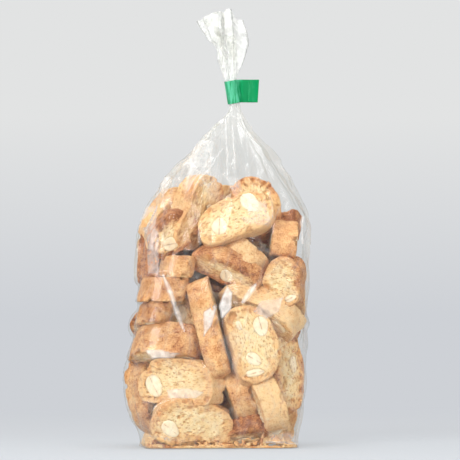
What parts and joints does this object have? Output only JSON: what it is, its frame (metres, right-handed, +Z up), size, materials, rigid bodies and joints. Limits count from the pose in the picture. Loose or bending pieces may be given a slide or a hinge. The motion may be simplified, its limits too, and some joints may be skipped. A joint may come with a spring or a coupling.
{
  "type": "bag of almond biscotti",
  "caption": "Clear film bag of sliced almond biscuits that stands on its flat base, with a gathered neck closed by green tape and a ruffled crown of film above.",
  "frame": {"origin": "middle of the footprint, on the surface that the bag stands on", "axes": "+Z up through the neck, +X along the wide face to the right, -Y out of the front face"},
  "size_m": [0.0966, 0.0646, 0.2333],
  "materials": {
    "film": "clear gloss film round baked biscuits",
    "biscuit": "matt dry crumb with a browned crust",
    "almond": "smooth matt cut nut",
    "tape": "smooth glossy adhesive tape"
  },
  "bodies": {
    "root": {"bag": "film", "tape": "tape"}
  },
  "joints": []
}
